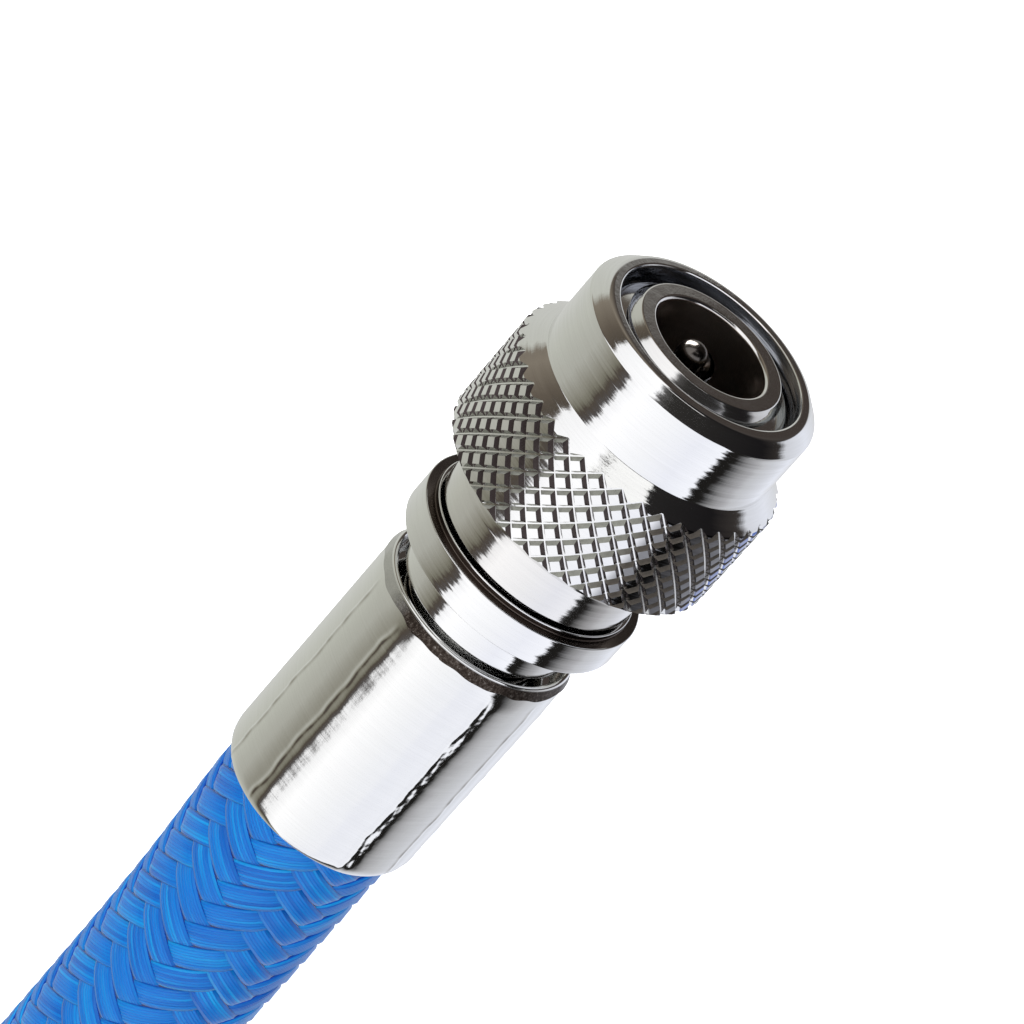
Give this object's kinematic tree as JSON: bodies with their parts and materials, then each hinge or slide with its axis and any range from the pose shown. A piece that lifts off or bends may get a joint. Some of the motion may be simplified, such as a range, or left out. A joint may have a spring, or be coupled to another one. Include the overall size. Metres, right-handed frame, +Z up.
{
  "type": "low-pressure inflator hose with quick-release coupling",
  "caption": "Braided low-pressure inflator hose with a crimped ferrule and a knurled push-and-pull coupling on one end and a hexagonal threaded fitting on the other.",
  "frame": {"origin": "on the floor, under the middle of the metal end with the coupling, on its axis", "axes": "+X along the coupling's axis, out of its mouth; +Z up from the floor; the hose turns back on the -Y side"},
  "size_m": [0.2265, 0.139, 0.019],
  "materials": {
    "chrome_plate": "polished with fine turning marks",
    "spring_steel": "drawn wire, satin",
    "ball_steel": "polished",
    "black_rubber": "matt",
    "brass_turned": "turned, satin",
    "white_seal": "matt",
    "blue_braid": "woven, satin"
  },
  "bodies": {
    "hose_assembly": {"coupler_body": "chrome_plate", "hose_insert": "chrome_plate", "body_o_ring": "black_rubber", "bore_o_ring": "black_rubber", "retaining_ring": "spring_steel", "crimp_ferrule": "chrome_plate", "valve_core_barrel": "brass_turned", "valve_core_seal": "white_seal", "valve_spring": "spring_steel", "hose": "blue_braid", "far_ferrule": "chrome_plate", "end_fitting": "chrome_plate", "fitting_o_ring": "black_rubber"},
    "spring": {"release_spring": "spring_steel"},
    "sleeve": {"release_sleeve": "chrome_plate"},
    "pin": {"valve_pin": "spring_steel", "valve_seat_seal": "black_rubber"},
    "ball_1": {"locking_ball_1": "ball_steel"},
    "ball_2": {"locking_ball_2": "ball_steel"},
    "ball_3": {"locking_ball_3": "ball_steel"},
    "ball_4": {"locking_ball_4": "ball_steel"},
    "ball_5": {"locking_ball_5": "ball_steel"}
  },
  "joints": [
    {"name": "sleeve_slide", "type": "slide", "parent": "hose_assembly", "child": "spring", "axis": [-1, 0, 0], "range_m": [0, 0.0028], "stiffness_N_per_m": 1000, "springref_m": -0.001, "deforming": ["release_spring"]},
    {"name": "sleeve_turn", "type": "hinge", "parent": "spring", "child": "sleeve", "pos_m": [0.01, 0, 0.0095], "axis": [1, 0, 0], "continuous": true},
    {"name": "valve_push", "type": "slide", "parent": "hose_assembly", "child": "pin", "axis": [-1, 0, 0], "range_m": [0, 0.0015], "stiffness_N_per_m": 500, "springref_m": -0.0005, "deforming": ["valve_spring"]},
    {"name": "ball_1_out", "type": "slide", "parent": "hose_assembly", "child": "ball_1", "axis": [0, 0, -1], "range_m": [0, 0.00056]},
    {"name": "ball_2_out", "type": "slide", "parent": "hose_assembly", "child": "ball_2", "axis": [0, 0.9511, -0.309], "range_m": [0, 0.00056]},
    {"name": "ball_3_out", "type": "slide", "parent": "hose_assembly", "child": "ball_3", "axis": [0, 0.5878, 0.809], "range_m": [0, 0.00056]},
    {"name": "ball_4_out", "type": "slide", "parent": "hose_assembly", "child": "ball_4", "axis": [0, -0.5878, 0.809], "range_m": [0, 0.00056]},
    {"name": "ball_5_out", "type": "slide", "parent": "hose_assembly", "child": "ball_5", "axis": [0, -0.9511, -0.309], "range_m": [0, 0.00056]}
  ],
  "couplings": [
    {"joint": "ball_1_out", "follows": "sleeve_slide", "ratio": 0.19643},
    {"joint": "ball_2_out", "follows": "sleeve_slide", "ratio": 0.19643},
    {"joint": "ball_3_out", "follows": "sleeve_slide", "ratio": 0.19643},
    {"joint": "ball_4_out", "follows": "sleeve_slide", "ratio": 0.19643},
    {"joint": "ball_5_out", "follows": "sleeve_slide", "ratio": 0.19643}
  ]
}
